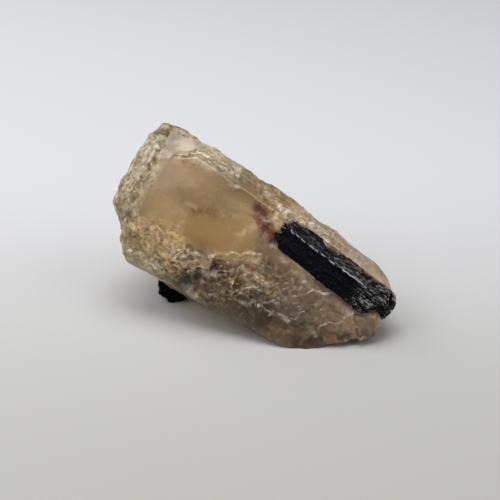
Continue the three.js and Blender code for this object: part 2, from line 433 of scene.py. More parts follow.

# %% [markdown]
# Some breaks are large enough to be known by their place: the ledge over the undercut, the steps at the
# thick end, round chips, and a pale three-sided flake near the top. A texture would put them anywhere, so
# each is placed one by one. A step has a zone and a height, and a chip has a middle, a radius and a depth. A
# chip with a depth below 0 is a small bump.

# %% Placed breaks
STEPS = {
    "ledge": (((-19.5, -10.2, 18.9), (2, -11.1, 20.3), 0.4, 0.7), 0.5),
    "under the ledge": (((-17, -10.9, 16.6), (1, -12.3, 17.6), 0.7, 1.2), -0.7),
    "left ledge": (((-24, 4.1, 41.7), (-30.1, -1.7, 34.1), 0.3, 0.5), 0.5),
    "left hollow": (((-25.3, 4.8, 41.2), (-31.4, -1, 33.6), 0.4, 0.8), -0.5),
    "left lip": (((-31, -5, 18), (-21, -9.8, 15.8), 0.3, 0.7), 0.45),
    "crest edge": (((-14.4, 6, 40.9), (-2.1, 2.1, 34.4), 0.2, 0.5), 0.35),
}
CHIPS = {
    "shell": ((-3.2, -13.4, 14.6), 2.6, 0.9),
    "upper shell": ((0.2, -13, 17), 1.9, 0.6),
    "dark hollow": ((-9.3, -12, 17.2), 2.3, 1.3),
    "small hollow": ((-6, -13, 13), 1.8, 0.6),
    "honey arc": ((-3.6, -7.3, 25.6), 1.6, 0.3),
    "left bite": ((-30.2, -4, 26.8), 2.4, 0.7),
    "crest chip": ((6.8, -2.3, 28.8), 1.5, -0.35),
    "edge chip": ((-4.9, -0.9, 35.4), 1.6, 0.35),
    "cream chip": ((15.2, -3.8, 24.5), 1.9, -0.45),
    "chunk foot": ((-16.6, -11.2, 15.4), 1.9, 0.7),
}
FLAKE_EDGES = {
    "lower": (Vector((-18.7, 3.4, 40.6)), Vector((0.34, -0.47, -0.81))),
    "left": (Vector((-21.9, 5.8, 42.2)), Vector((-0.95, 0.16, 0.27))),
    "upper": (Vector((-17.6, 9, 43)), Vector((0.42, 0.45, 0.79))),
    "behind": (Vector((-17.6, 11.5, 43)), Vector((0, 1, 0))),
}
FLAKE_SOFT = 0.35
FLAKE_RISE = 0.35


def chip_height(tree, point, middle, radius, depth):
    """A round scoop with a crisp rim, where a chip flew off."""
    share = calc(tree, "DIVIDE", vector_calc(tree, "DISTANCE", point, middle), radius)
    bowl = calc(tree, "SUBTRACT", 1.0, calc(tree, "MULTIPLY", share, share), clamp=True)
    return calc(tree, "MULTIPLY", bowl, -depth)


def flake_mask(tree, point):
    """1 on the pale three-sided flake near the top, 0 beyond its edges."""
    mask = 1.0
    for place, outward in FLAKE_EDGES.values():
        beyond = vector_calc(tree, "DOT_PRODUCT", vector_calc(tree, "SUBTRACT", point, place), outward)
        mask = calc(tree, "MULTIPLY", mask, ramp(tree, beyond, 0.0, FLAKE_SOFT, 1.0, 0.0))
    return mask


print("placed by hand:", len(STEPS), "steps,", len(CHIPS), "chips and a flake")

# %% [markdown]
# All heights are added up in one geometry tree, each where its mask allows it. Noise shifts the points to
# and fro first, so that the breaks and the borders of the zones are ragged, as on the real stone.

# %% Height of the surface
RAGGED = {"scale": 0.3, "amount": 3.0}
FACET_RAGGED = {"scale": 0.8, "amount": 1.2}
SWELL = {"scale": 0.12, "height": 0.5}


def masked(tree, height, mask, under):
    """Adds a height, where a mask allows it, to the height under it."""
    return calc(tree, "MULTIPLY_ADD", height, mask, under)


def bend(tree, point, scale, amount):
    """Shifts points to and fro, so that what is drawn there gets ragged edges."""
    shift = vector_calc(tree, "SUBTRACT", noise(tree, point, scale, 3.0, output="Color"), (0.5, 0.5, 0.5))
    return vector_calc(tree, "ADD", point, vector_calc(tree, "MULTIPLY", shift, (amount,) * 3))


def crumble(tree, point):
    """How crumbly the stone is at a point, from 0 to 1."""
    calm = calc(tree, "MAXIMUM", strongest(tree, point, CALM_ZONES), flake_mask(tree, point))
    rough = ramp(tree, strongest(tree, point, CRUMBLY_ZONES), 0.0, 1.0, PLAIN_SHARE, 1.0)
    return calc(tree, "MULTIPLY", rough, calc(tree, "SUBTRACT", 1.0, calm))


def quartz_height(tree, point, rough):
    """All the relief of the quartz, in millimetres."""
    bent = bend(tree, point, **RAGGED)
    height = centred_noise(tree, point, **SWELL)
    bowls = bowl_height(tree, bent, BOWLS["cell"], BOWLS["depth"])
    height = masked(tree, bowls, ramp(tree, rough, 0.0, 1.0, BOWLS["calm"], 1.0), height)
    for scallop in SCALLOPS:
        height = masked(tree, scallop_height(tree, bent, **scallop), rough, height)
    ragged = bend(tree, bent, **FACET_RAGGED)
    for cell, tilt, zone in FACETS.values():
        height = masked(tree, facet_height(tree, ragged, cell, tilt), zone_mask(tree, point, zone), height)
    height = masked(tree, ledge_height(tree, point), zone_mask(tree, point, THICK_END), height)
    for zone, step in STEPS.values():
        height = masked(tree, step, zone_mask(tree, bent, zone), height)
    for middle, radius, depth in CHIPS.values():
        height = calc(tree, "ADD", height, chip_height(tree, bent, middle, radius, depth))
    return masked(tree, FLAKE_RISE, flake_mask(tree, bent), height)


def move_out(tree, geometry, height):
    """Moves a surface along its normals by a height in millimetres."""
    normal = tree.nodes.new("GeometryNodeInputNormal").outputs[0]
    offset = vector_calc(tree, "MULTIPLY", normal, calc(tree, "MULTIPLY", height, MM))
    return put(tree, "GeometryNodeSetPosition", {"Geometry": geometry, "Offset": offset}).outputs[0]


print("borders waver by up to about", RAGGED["amount"] / 2, "mm")

# %% [markdown]
# Three marks are kept with every point, because the finish needs them: how crumbly the stone is there,
# how far the point stands out from its surroundings, and how thick the stone is behind it. The first
# comes from the zones. The second is the point's height over a blurred copy of the surface. For the third
# a ray is sent inwards until it comes out on the other side.

# %% Marks for the finish
RIDGE_BLUR = 4
THICKNESS_BLUR = 12
LONGEST_RAY = 60  # millimetres


def store(tree, geometry, name, value):
    """Keeps a number with every point, under a name."""
    feeds = {"Geometry": geometry, "Name": name, "Value": value}
    return put(tree, "GeometryNodeStoreNamedAttribute", feeds, data_type="FLOAT").outputs[0]


def store_ridge(tree, geometry):
    """Marks how many millimetres a point stands out from its surroundings."""
    place = tree.nodes.new("GeometryNodeInputPosition").outputs[0]
    normal = tree.nodes.new("GeometryNodeInputNormal").outputs[0]
    feeds = {"Value": place, "Iterations": RIDGE_BLUR}
    blurred = put(tree, "GeometryNodeBlurAttribute", feeds, data_type="FLOAT_VECTOR").outputs[0]
    out = vector_calc(tree, "SUBTRACT", place, blurred)
    height = vector_calc(tree, "DOT_PRODUCT", in_millimetres(tree, out), normal)
    return store(tree, geometry, "ridge", height)


def store_thickness(tree, geometry):
    """Marks how many millimetres of stone lie behind a point."""
    place = tree.nodes.new("GeometryNodeInputPosition").outputs[0]
    normal = tree.nodes.new("GeometryNodeInputNormal").outputs[0]
    inwards = vector_calc(tree, "MULTIPLY", normal, (-1, -1, -1))
    inside = vector_calc(tree, "ADD", place, vector_calc(tree, "MULTIPLY", inwards, (MM / 10,) * 3))
    feeds = {
        "Target Geometry": geometry,
        "Source Position": inside,
        "Ray Direction": inwards,
        "Ray Length": LONGEST_RAY * MM,
    }
    ray = put(tree, "GeometryNodeRaycast", feeds)
    thickness = calc(tree, "DIVIDE", ray.outputs["Hit Distance"], MM)
    feeds = {"Value": thickness, "Iterations": THICKNESS_BLUR}
    blurred = put(tree, "GeometryNodeBlurAttribute", feeds, data_type="FLOAT").outputs[0]
    return store(tree, geometry, "thickness", blurred)


print("rays for the thickness are", LONGEST_RAY, "mm long")

# %% [markdown]
# The relief is a modifier, applied at once, so that the finished mesh holds it. What it pushes under the
# floor is cut off. Steep steps keep a sharp edge, and all other edges are shaded smooth.

# %% Quartz with its relief
SHARP_STEP = math.radians(24)
MARKS = {"ridge": "mm", "thickness": "mm", "crumble": "of 1"}


def trim_at_floor(piece):
    """Cuts off what lies under the floor, and closes the cut."""
    select_only(piece)
    bpy.ops.object.mode_set(mode="EDIT")
    bpy.ops.mesh.select_all(action="SELECT")
    bpy.ops.mesh.bisect(plane_co=(0, 0, 0), plane_no=(0, 0, 1), threshold=WELD,
                        clear_inner=True, use_fill=True)
    bpy.ops.object.mode_set(mode="OBJECT")


def make_quartz_relief():
    """A geometry tree that moves the surface of the quartz and marks its points."""
    sockets = [("Geometry", "Geometry")]
    tree, ins, outs = new_group("Quartz relief", "GeometryNodeTree", sockets, sockets)
    place = tree.nodes.new("GeometryNodeInputPosition").outputs[0]
    point = in_millimetres(tree, place)
    rough = crumble(tree, bend(tree, point, **RAGGED))
    marked = store(tree, ins.outputs[0], "crumble", rough)
    moved = move_out(tree, marked, quartz_height(tree, point, rough))
    marked = store_thickness(tree, store_ridge(tree, moved))
    tree.links.new(marked, outs.inputs[0])
    return tree


add_and_apply(quartz, "NODES", node_group=make_quartz_relief())
trim_at_floor(quartz)
select_only(quartz)
bpy.ops.object.shade_smooth_by_angle(angle=SHARP_STEP)
for kept, unit in MARKS.items():
    values = sorted(item.value for item in quartz.data.attributes[kept].data)
    low, middle, high = (values[int(len(values) * share)] for share in (0.05, 0.5, 0.95))
    print(kept, "from", round(low, 2), "by", round(middle, 2), "to", round(high, 2), unit)
print("quartz:", len(quartz.data.polygons), "faces")

# %% [markdown]
# ## The finish of the quartz
#
# Quartz is see-through: plain transmission, an index of refraction of 1.544 and a plain absorption that
# tints thick parts honey brown. The lump is full of small cracks, so part of the light is scattered back,
# which the base colour stands for. A picture would fit one side only, so the colour is made of zones.
# Thin edges are painted pale, a painted glow of light shining through them, and soft clouds are pale. The
# tints of the zones are laid over them, one after another, and some of them are painted light or shade.
# Each tint has a zone, a colour and the share of that colour.

# %% Colours of the quartz
BEIGE = (0.56, 0.36, 0.15, 1)
PALE = (0.95, 0.84, 0.62, 1)
DEEP = (0.22, 0.13, 0.05, 1)
FLAKE_PALE = (0.80, 0.70, 0.53, 1)
THIN = 9.0  # millimetres

TINTS = {
    "back": (((-25, 20, 28), (18, 17, 12), 11, 7), (0.64, 0.53, 0.39, 1), 0.9),
    # Painted shade: the hidden underside is darkened so that less light comes through onto the floor under
    # it.
    "hidden underside": (((-25, 2, 8), (20, 2, 0), 6, 8), (0.10, 0.06, 0.028, 1), 0.9),
    # Darker where this part of the smooth face turns up to the lamps: a painted shade that evens it with the
    # rest.
    "upper smooth face": (((-16, 3.5, 40), (2, -1.5, 31.5), 1.5, 3), (0.38, 0.235, 0.1, 1), 0.85),
    # Darker towards the underside: partly the stone's smoky colour, partly painted shade on the undercut
    # that faces down.
    "smoky and shaded underside": (((-13, -12.8, 10.5), (12, -20, 4), 4.5, 5), (0.032, 0.015, 0.005, 1), 0.95),
    "pinkish front": (((11, -16, 12), (31, -17.5, 4.5), 4.5, 4), (0.33, 0.235, 0.19, 1), 0.85),
    "dark base": (((4, -20, 2), (24, -21, 0), 1.5, 3), (0.19, 0.115, 0.068, 1), 0.9),
    "grey by the rod": (((3, -9, 23), (7, -13, 17), 2, 3), (0.17, 0.11, 0.07, 1), 0.85),
    "honey window": (((-16, -6.5, 26.5), (-4, -8.5, 23.5), 2.6, 3.2), (0.44, 0.25, 0.065, 1), 0.9),
    "left honey": (((-26, -4, 31), (-20, -6, 28), 2.5, 3), (0.58, 0.38, 0.15, 1), 0.7),
    "pale corner": (((-25, -1, 35.5), (-21, 0, 37), 1.5, 3), (0.66, 0.53, 0.38, 1), 0.4),
    # Pale cream: partly the colour of the quartz there, partly painted light where the thick end faces up.
    "thick end": (((-25, 6, 42), (-33, -1, 29), 3.5, 3), (0.88, 0.73, 0.46, 1), 0.95),
    "lower left": (((-29, -5, 22), (-22, -8, 21), 3.5, 4), (0.84, 0.60, 0.28, 1), 0.85),
    # Pale cream: partly the colour of the crest, partly painted light where the crest faces up.
    "crest": (((-12, 6, 40.5), (-5, 4, 37), 3, 3), (1.0, 0.88, 0.60, 1), 0.95),
    "lower crest": (((-1, 2, 34), (6, 0, 30.5), 2.5, 3), (0.40, 0.285, 0.13, 1), 0.9),
    "pale shoulder": (((12, -2, 27), (24, -7, 19.5), 2.5, 3), (0.86, 0.71, 0.50, 1), 0.8),
    "crest chip": (((6.4, -2.2, 29), (7.4, -2.6, 28.4), 0.5, 0.9), (1.0, 0.95, 0.85, 1), 0.95),
    "cream chip": (((14.3, -3.6, 25.1), (16.3, -4, 23.8), 0.9, 0.9), (1.0, 0.97, 0.90, 1), 1.0),
    "pink tip": (((27, -9, 17), (33, -12, 12), 2.5, 3), (0.86, 0.72, 0.60, 1), 0.85),
    "upper rod lip": (((6.3, -11.3, 20), (17.6, -16.6, 11.4), 0.3, 0.8), (0.74, 0.62, 0.50, 1), 0.6),
    "lower rod lip": (((17.6, -16.6, 11.4), (26.9, -19.5, 6.8), 0.3, 0.8), (0.74, 0.62, 0.50, 1), 0.6),
    "rust": (((1.2, -4.4, 29.4), (2.8, -6.9, 27), 0.9, 1.8), (0.11, 0.008, 0.002, 1), 0.95),
    "rust by the rod": (((3.4, -7.6, 25.4), (4.4, -8.4, 24), 0.7, 1.8), (0.10, 0.008, 0.002, 1), 0.92),
    # Painted shade under the overhang of the ledge.
    "shade under the ledge": (((-10.5, -11.4, 17), (3, -12.4, 17.6), 1.2, 2), (0.09, 0.048, 0.022, 1), 0.75),
    "red spot": (((21.4, -21.1, 2.9), (23.2, -21, 2.7), 0.7, 1.0), (0.035, 0.006, 0.003, 1), 0.95),
    # As pale as it goes: clear quartz at the thin edge, and a painted glow of light shining through it.
    "clear edge": (((-30, -6, 17), (-24, -8.5, 15), 1.2, 2), (1.0, 0.88, 0.62, 1), 1.0),
    # Painted shade: the hollow under the ledge is painted nearly black.
    "dark hollow": (((-9.3, -11.8, 17.7), (-8.5, -12.5, 14.8), 1.2, 1.6), (0.02, 0.01, 0.004, 1), 0.9),
    "sugary chunk": (((-15.2, -11.3, 18.4), (-12.6, -11.4, 17.6), 1.3, 1.0), (0.40, 0.30, 0.19, 1), 0.8),
    "shell": (((-1.6, -13.5, 15.5), (-0.4, -13.6, 14), 1.0, 1.5), (0.45, 0.34, 0.22, 1), 0.8),
    "clear chip": (((-16.6, -11.8, 11.3), (-14.8, -12.5, 9.6), 0.8, 1.0), (0.66, 0.58, 0.42, 1), 0.85),
}

print("quartz colours:", len(TINTS), "tints")

# %% [markdown]
# The sugary crumble sparkles because every sliver of it faces its own way. Small Voronoi cells, drawn out
# along two ways, are those slivers: each is painted a little lighter or darker, a painted light and shade of
# its facet, a few are painted pale as glints, and each tilts the surface. Fine spots come over them. At last
# ridges get paler, partly whitish cracks and partly a painted highlight, and the bottoms of the pits darker,
# a painted shade, by the mark of the ridges.

# %% Slivers, clouds and spots
FLECKS = [
    {"cell": 0.75, "way": Vector((0.85, -0.24, -0.47)), "longer": 3.0},
    {"cell": 0.5, "way": Vector((0.54, 0.51, 0.67)), "longer": 2.8},
]
FLECK_RAGGED = {"scale": 0.6, "amount": 0.8}
# Each sliver is painted lighter or darker, a painted light and shade of its facet, and a few get a painted
# glint.
FLECK_PAINTED_SHADING = (0.0, 1.0, -0.24, 0.34)
PAINTED_GLINT_FLECKS = (0.86, 0.92, 0.0, 0.4)
SPOT_NOISE = {"scale": 0.9, "detail": 6.0, "roughness": 0.7}
SPOT_LIGHT = (0.35, 0.65, -0.4, 0.4)
SPOTS_ON_CRUMBLE = 1.2
SPOTS_ANYWHERE = 0.15
CLOUD_NOISE = {"scale": 0.25, "detail": 5.0, "roughness": 0.6}
CLOUDS = (0.45, 0.7, 0.0, 0.2)
# Thin edges are painted pale: a painted glow of light shining through the thin stone.
PAINTED_THIN_GLOW = (THIN / 3, THIN, 0.8, 0.0)
TINT_RAGGED = {"scale": 0.35, "amount": 3.0}
TINT_FRAYED = {"scale": 1.3, "amount": 1.0}
FLAKE_SHARE = 0.9
# Ridges are painted paler, partly whitish cracks and partly a painted highlight, and pits darker, a painted
# shade.
RIDGE_PALE_AND_HIGHLIGHT = (0.02, 0.14, 0.0, 0.25)
PAINTED_PIT_SHADE = (-0.02, -0.16, 0.0, 0.15)


def blend(tree, under, over, mask):
    """Lays one colour over another where the mask is 1."""
    feeds = {0: mask, 6: under, 7: over}
    return put(tree, "ShaderNodeMix", feeds, data_type="RGBA").outputs[2]


def mark(tree, name):
    """A mark that is kept with the points of the mesh."""
    return put(tree, "ShaderNodeAttribute", attribute_name=name).outputs["Fac"]


def drawn_along(tree, point, way, longer):
    """Squeezes space along one way, so that what is drawn there gets longer that way."""
    share = calc(tree, "MULTIPLY", vector_calc(tree, "DOT_PRODUCT", point, way), 1 - 1 / longer)
    return vector_calc(tree, "SUBTRACT", point, vector_calc(tree, "MULTIPLY", tuple(way), share))


def fleck_cells(tree, point, cell, way, longer):
    """A random colour for every small sliver of the crumble."""
    feeds = {"Vector": drawn_along(tree, point, way, longer), "Scale": 1 / cell}
    return put(tree, "ShaderNodeTexVoronoi", feeds).outputs["Color"]


def tilted(tree, normal, cells, amount):
    """Tilts a normal sliver by sliver where the stone is crumbly."""
    tilt = vector_calc(tree, "SUBTRACT", cells, (0.5, 0.5, 0.5))
    tilt = vector_calc(tree, "MULTIPLY", tilt, calc(tree, "MULTIPLY", mark(tree, "crumble"), amount))
    return vector_calc(tree, "NORMALIZE", vector_calc(tree, "ADD", normal, tilt))


def flecked(tree, colour, cells):
    """Paints every sliver lighter or darker as painted light and shade, and a few pale as painted glints,
    where crumbly.
    """
    random = put(tree, "ShaderNodeSeparateXYZ", {0: cells}).outputs[0]
    change = calc(tree, "MULTIPLY", ramp(tree, random, *FLECK_PAINTED_SHADING), mark(tree, "crumble"))
    light = calc(tree, "ADD", change, 1.0)
    colour = put(tree, "ShaderNodeHueSaturation", {"Color": colour, "Value": light}).outputs[0]
    glint = calc(tree, "MULTIPLY", ramp(tree, random, *PAINTED_GLINT_FLECKS), mark(tree, "crumble"))
    return blend(tree, colour, PALE, glint)


def mottled(tree, colour, point):
    """Fine lighter and darker spots, faint where the stone is smooth."""
    spots = ramp(tree, noise(tree, point, **SPOT_NOISE), *SPOT_LIGHT)
    share = calc(tree, "MULTIPLY_ADD", mark(tree, "crumble"), SPOTS_ON_CRUMBLE, SPOTS_ANYWHERE, clamp=True)
    light = calc(tree, "MULTIPLY_ADD", spots, share, 1.0)
    return put(tree, "ShaderNodeHueSaturation", {"Color": colour, "Value": light}).outputs[0]


def quartz_colour(tree, point, flecks):
    """Painted thin-edge glow, clouds, zones, flecks with painted glints, spots, then painted ridge light and
    pit shade.
    """
    ragged = bend(tree, bend(tree, point, **TINT_RAGGED), **TINT_FRAYED)
    colour = blend(tree, BEIGE, PALE, ramp(tree, mark(tree, "thickness"), *PAINTED_THIN_GLOW))
    clouds = ramp(tree, noise(tree, point, **CLOUD_NOISE), *CLOUDS)
    colour = blend(tree, colour, PALE, clouds)
    for zone, tint, share in TINTS.values():
        mask = zone_mask(tree, ragged, zone)
        colour = blend(tree, colour, tint, calc(tree, "MULTIPLY", mask, share))
    flake = flake_mask(tree, bend(tree, point, **RAGGED))
    colour = blend(tree, colour, FLAKE_PALE, calc(tree, "MULTIPLY", flake, FLAKE_SHARE))
    for cells in flecks:
        colour = flecked(tree, colour, cells)
    colour = mottled(tree, colour, point)
    # Painted highlight on the ridges, then painted shade in the bottoms of the pits.
    colour = blend(tree, colour, PALE, ramp(tree, mark(tree, "ridge"), *RIDGE_PALE_AND_HIGHLIGHT))
    return blend(tree, colour, DEEP, ramp(tree, mark(tree, "ridge"), *PAINTED_PIT_SHADE))


print("slivers of", [fleck["cell"] for fleck in FLECKS], "mm")

# %% [markdown]
# The finish itself has plain values for everything that makes the stone see-through. Broken faces are
# glossier than the smooth, worn ones. A thin coat stands for the glints: its normal is tilted sliver by
# sliver, and more than that of the stone under it.

# %% Quartz finish
QUARTZ_IOR = 1.544
QUARTZ_CLEAR = 0.8
QUARTZ_TINT = (0.88, 0.76, 0.58, 1)
QUARTZ_DENSITY = 20.0  # for each metre
GLINT_SHARE = 0.35
GLINT_ROUGHNESS = 0.08
GLINT_WARM = (1.0, 0.92, 0.78, 1)
QUARTZ_ROUGHNESS = (0.0, 0.6, 0.42, 0.22)  # from smooth to crumbly
GLINT_TILT = 0.5
CRUMB_TILT = 0.1
FINE_BUMP = 0.6
FINE_BUMP_HEIGHT = 0.12 * MM
FINE_GRAIN = {"scale": 1.6, "detail": 4.0, "roughness": 0.6}


def new_material(name):
    """A material with a Principled surface, and the place of a point in millimetres."""
    material = bpy.data.materials.new(name)
    material.use_nodes = True
    tree = material.node_tree
    tree.nodes.clear()
    surface = put(tree, "ShaderNodeBsdfPrincipled")
    put(tree, "ShaderNodeOutputMaterial", {"Surface": surface.outputs[0]})
    point = in_millimetres(tree, put(tree, "ShaderNodeTexCoord").outputs["Object"])
    return material, tree, surface, point


def make_quartz_finish():
    """See-through stone with coloured zones and glinting slivers."""
    material, tree, surface, point = new_material("smoky quartz")
    flecks = [fleck_cells(tree, bend(tree, point, **FLECK_RAGGED), **fleck) for fleck in FLECKS]
    tree.links.new(quartz_colour(tree, point, flecks), surface.inputs["Base Color"])
    surface.inputs["Transmission Weight"].default_value = QUARTZ_CLEAR
    surface.inputs["IOR"].default_value = QUARTZ_IOR
    surface.inputs["Specular Tint"].default_value = GLINT_WARM
    gloss = ramp(tree, mark(tree, "crumble"), *QUARTZ_ROUGHNESS)
    tree.links.new(gloss, surface.inputs["Roughness"])
    grain = noise(tree, point, **FINE_GRAIN)
    feeds = {"Height": grain, "Strength": FINE_BUMP, "Distance": FINE_BUMP_HEIGHT}
    normal = put(tree, "ShaderNodeBump", feeds).outputs[0]
    tree.links.new(tilted(tree, normal, flecks[0], CRUMB_TILT), surface.inputs["Normal"])
    surface.inputs["Coat Weight"].default_value = GLINT_SHARE
    surface.inputs["Coat Roughness"].default_value = GLINT_ROUGHNESS
    tree.links.new(tilted(tree, normal, flecks[1], GLINT_TILT), surface.inputs["Coat Normal"])
    inside = put(tree, "ShaderNodeVolumeAbsorption", {"Color": QUARTZ_TINT, "Density": QUARTZ_DENSITY})
    tree.links.new(inside.outputs[0], tree.get_output_node("ALL").inputs["Volume"])
    return material


quartz.data.materials.clear()
quartz.data.materials.append(make_quartz_finish())
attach(quartz, "root")
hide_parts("quartz")
print("quartz finish:", quartz.data.materials[0].name)

# %% [markdown]
# ## The tourmaline rods
#
# Tourmaline grows as long six-sided rods with grooves along their length, and breaks across into
# splinters. A six-sided cylinder is the start, and these values say how each rod differs from it: how
# much wider and longer it is than in the CAD, its girth along its length, how deep its splinters are, how
# far its broken end slants, how rough its sides are, and how slim it is where the quartz hides it.

# %% Shapes of the rods
ROD_SHAPES = {
    "tourmaline_rod": {
        "wider": 0.35,
        "longer": (1.8, 0.6),
        "girth": (
            (0, 0.84), (0.04, 0.88), (0.35, 0.94), (0.75, 1.03), (0.92, 1.0), (0.97, 0.82), (1, 0.45),
        ),
        "cuts": 5,
        "splinter": 1.5,
        "slant": 4.0,
        "rough": 0.9,
        "keel": 0.6,
        "wear_and_sheen": 1.0,
    },
    "tourmaline_foot": {
        "wider": 0.7,
        "longer": (1.2, 0.3),
        "girth": ((0, 0.8), (0.1, 0.98), (0.9, 1.0), (1, 0.85)),
        "cuts": 3,
        "splinter": 0.8,
        "slant": 0.0,
        "rough": 0.7,
        "keel": 1.0,
        "wear_and_sheen": 0.0,
    },
}
ROD_LEVELS = 5
BURIED = (0.0, 2.0)  # millimetres over the axis: slim at the first, full at the second

print("cuts across the sides:", {name: shape["cuts"] for name, shape in ROD_SHAPES.items()})

# %% [markdown]
# The relief of a rod is a geometry tree as well. A curve along the length makes the rod slimmer at its
# ends. Noise that is drawn out along the rod makes the grooves, and every fibre of an end is pushed in by
# an amount of its own. The buried side is slimmer, so that it doesn't darken the clear quartz beside it.
# Every point keeps its place on the standing rod as a mark, because the finish follows the rod's length.

# %% Relief of a rod
GROOVE_STRETCH = (1, 1, 0.05)
SLAB_STRETCH = (1, 1, 0.14)
SPLINTER_STRETCH = (1, 1, 0.03)
SLABS = {"cell": 1.7, "depth": 0.8}
GROOVES = {"scale": 2.4, "height": 0.5, "detail": 3.0}
SIDE_CHIPS = {"scale": 0.9, "height": 0.7, "detail": 3.0}
ROD_SWELL = {"scale": 0.16, "height": 0.9, "detail": 2.0}
FIBRES_PER_MM = 1.2
SPLINTERED_FROM = 0.8  # of the way from the middle to an end
SLANTED_FROM = 0.6  # of the whole length


def girth_along(tree, share, points):
    """Carries the share of the length to a girth by a drawn curve through given points."""
    curve = put(tree, "ShaderNodeFloatCurve", {"Value": share})
    line = curve.mapping.curves[0]
    curve.mapping.clip_max_y = 2
    line.points[0].location = points[0]
    line.points[-1].location = points[-1]
    for x, y in points[1:-1]:
        line.points.new(x, y)
    curve.mapping.update()
    return curve.outputs[0]


def rod_noise(tree, point, form, rough):
    """Noise of one form, higher on a rougher rod."""
    return centred_noise(tree, point, form["scale"], form["height"] * rough, form["detail"])


def rod_height(tree, point, rough):
    """Slabs, grooves and chips of a rod's sides."""
    drawn_out = vector_calc(tree, "MULTIPLY", point, GROOVE_STRETCH)
    flattened = vector_calc(tree, "MULTIPLY", point, SLAB_STRETCH)
    height = bowl_height(tree, flattened, SLABS["cell"], SLABS["depth"] * rough)
    height = calc(tree, "ADD", height, rod_noise(tree, drawn_out, GROOVES, rough))
    height = calc(tree, "ADD", height, rod_noise(tree, point, SIDE_CHIPS, rough))
    return calc(tree, "ADD", height, rod_noise(tree, point, ROD_SWELL, rough))


def splinters(tree, point, from_middle, depth):
    """How far each fibre near an end is pushed in."""
    across = vector_calc(tree, "MULTIPLY", point, SPLINTER_STRETCH)
    fibres = put(tree, "ShaderNodeTexVoronoi", {"Vector": across, "Scale": FIBRES_PER_MM}).outputs["Color"]
    random = put(tree, "ShaderNodeSeparateXYZ", {0: fibres}).outputs[0]
    near_end = ramp(tree, calc(tree, "ABSOLUTE", from_middle), SPLINTERED_FROM, 1.0)
    inward = calc(tree, "MULTIPLY", calc(tree, "MULTIPLY", random, near_end), -depth)
    return calc(tree, "MULTIPLY", inward, calc(tree, "SIGN", from_middle))


def broken_slant(tree, point, share, slope):
    """How far one side of the broken end is pushed in, so that the break runs aslant."""
    beside = calc(tree, "MINIMUM", put(tree, "ShaderNodeSeparateXYZ", {0: point}).outputs["X"], 0.0)
    near_end = ramp(tree, share, SLANTED_FROM, 1.0)
    return calc(tree, "MULTIPLY", calc(tree, "MULTIPLY", beside, slope), near_end)


def keel(tree, point, share):
    """Makes a rod slimmer where it is buried, so that it doesn't darken the quartz beside it."""
    height = put(tree, "ShaderNodeSeparateXYZ", {0: point}).outputs["Y"]
    slim = ramp(tree, height, *BURIED, share, 1.0)
    return put(tree, "ShaderNodeCombineXYZ", {"X": slim, "Y": 1.0, "Z": 1.0}).outputs[0]


def shaped_rod(tree, point, length, side, shape):
    """The place of a point after all the relief, in millimetres."""
    along = put(tree, "ShaderNodeSeparateXYZ", {0: point}).outputs["Z"]
    from_middle = calc(tree, "DIVIDE", along, length / 2)
    share = calc(tree, "MULTIPLY_ADD", from_middle, 0.5, 0.5)
    girth = girth_along(tree, share, shape["girth"])
    slim = put(tree, "ShaderNodeCombineXYZ", {"X": girth, "Y": girth, "Z": 1.0}).outputs[0]
    outward = vector_calc(tree, "NORMALIZE", vector_calc(tree, "MULTIPLY", point, (1, 1, 0)))
    sideways = vector_calc(tree, "MULTIPLY", outward, rod_height(tree, point, shape["rough"]))
    inward = splinters(tree, point, from_middle, 2 * shape["splinter"])
    inward = calc(tree, "ADD", inward, broken_slant(tree, point, share, shape["slant"] / side))
    lengthways = put(tree, "ShaderNodeCombineXYZ", {"Z": inward}).outputs[0]
    shaped = vector_calc(tree, "ADD", vector_calc(tree, "MULTIPLY", point, slim), sideways)
    shaped = vector_calc(tree, "MULTIPLY", shaped, keel(tree, point, shape["keel"]))
    return vector_calc(tree, "ADD", shaped, lengthways)


def make_rod_relief(name, length, side, shape):
    """A geometry tree that grooves a standing rod and breaks its ends."""
    sockets = [("Geometry", "Geometry")]
    tree, ins, outs = new_group(name + " relief", "GeometryNodeTree", sockets, sockets)
    place = tree.nodes.new("GeometryNodeInputPosition").outputs[0]
    point = in_millimetres(tree, place)
    shaped = shaped_rod(tree, point, length, side, shape)
    shaped = vector_calc(tree, "MULTIPLY", shaped, (MM, MM, MM))
    feeds = {"Geometry": ins.outputs[0], "Name": "standing", "Value": point}
    marked = put(tree, "GeometryNodeStoreNamedAttribute", feeds, data_type="FLOAT_VECTOR").outputs[0]
    moved = put(tree, "GeometryNodeSetPosition", {"Geometry": marked, "Position": shaped})
    tree.links.new(store(tree, moved.outputs[0], "wear_and_sheen", shape["wear_and_sheen"]), outs.inputs[0])
    return tree


print("relief of a rod:", FIBRES_PER_MM, "fibres to the millimetre")

# %% [markdown]
# Each rod starts as a cylinder. Its long edges are selected by how far they rise and cut across, so that
# the faces are about as long as they are wide, and a simple subdivision makes them fine. Then the relief
# is applied, and the rod is laid in place.

